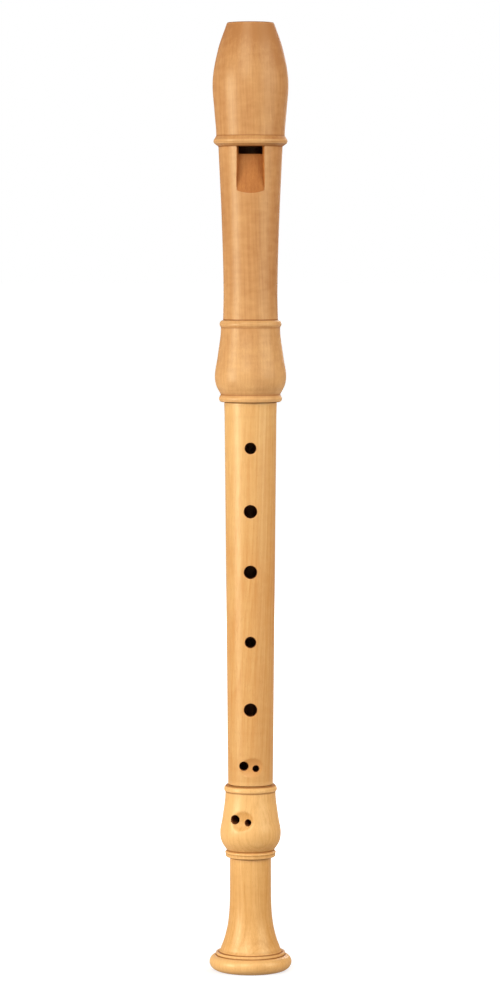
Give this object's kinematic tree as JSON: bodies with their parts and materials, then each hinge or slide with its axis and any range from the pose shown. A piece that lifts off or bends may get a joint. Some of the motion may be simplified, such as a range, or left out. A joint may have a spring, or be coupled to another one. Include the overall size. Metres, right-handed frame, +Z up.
{
  "type": "alto recorder",
  "caption": "Upright wooden alto recorder: turned head with whistle window and beak, middle joint with finger holes, flared foot, block and corked tenons.",
  "frame": {"origin": "centre of the flat ring under the bell, on which the recorder stands", "axes": "+Z up along the bore to the mouthpiece; the window and the finger holes face -Y, the thumb hole and the cut side of the beak face +Y"},
  "size_m": [0.0416, 0.0416, 0.48],
  "materials": {
    "head_wood": "satin oiled, honey brown",
    "middle_wood": "satin oiled, pale honey",
    "foot_wood": "satin oiled, yellow honey",
    "cedar": "bare, matte",
    "cork": "bare cork, matte"
  },
  "bodies": {
    "foot": {"foot_joint": "foot_wood"},
    "lower_cork": {"lower_tenon_cork": "cork"},
    "middle": {"middle_joint": "middle_wood"},
    "upper_cork": {"upper_tenon_cork": "cork"},
    "head": {"head_joint": "head_wood"},
    "block": {"block": "cedar"}
  },
  "joints": [
    {"name": "middle_pull", "type": "slide", "parent": "foot", "child": "lower_cork", "axis": [0, 0, 1], "range_m": [0, 0.03]},
    {"name": "middle_twist", "type": "hinge", "parent": "lower_cork", "child": "middle", "pos_m": [0, 0, 0.0887], "axis": [0, 0, 1], "continuous": true},
    {"name": "head_twist", "type": "hinge", "parent": "middle", "child": "upper_cork", "pos_m": [0, 0, 0.3012], "axis": [0, 0, 1], "continuous": true},
    {"name": "head_pull", "type": "slide", "parent": "upper_cork", "child": "head", "axis": [0, 0, 1], "range_m": [0, 0.045]},
    {"name": "block_push_out", "type": "slide", "parent": "head", "child": "block", "axis": [0, 0, 1], "range_m": [0, 0.065]}
  ]
}
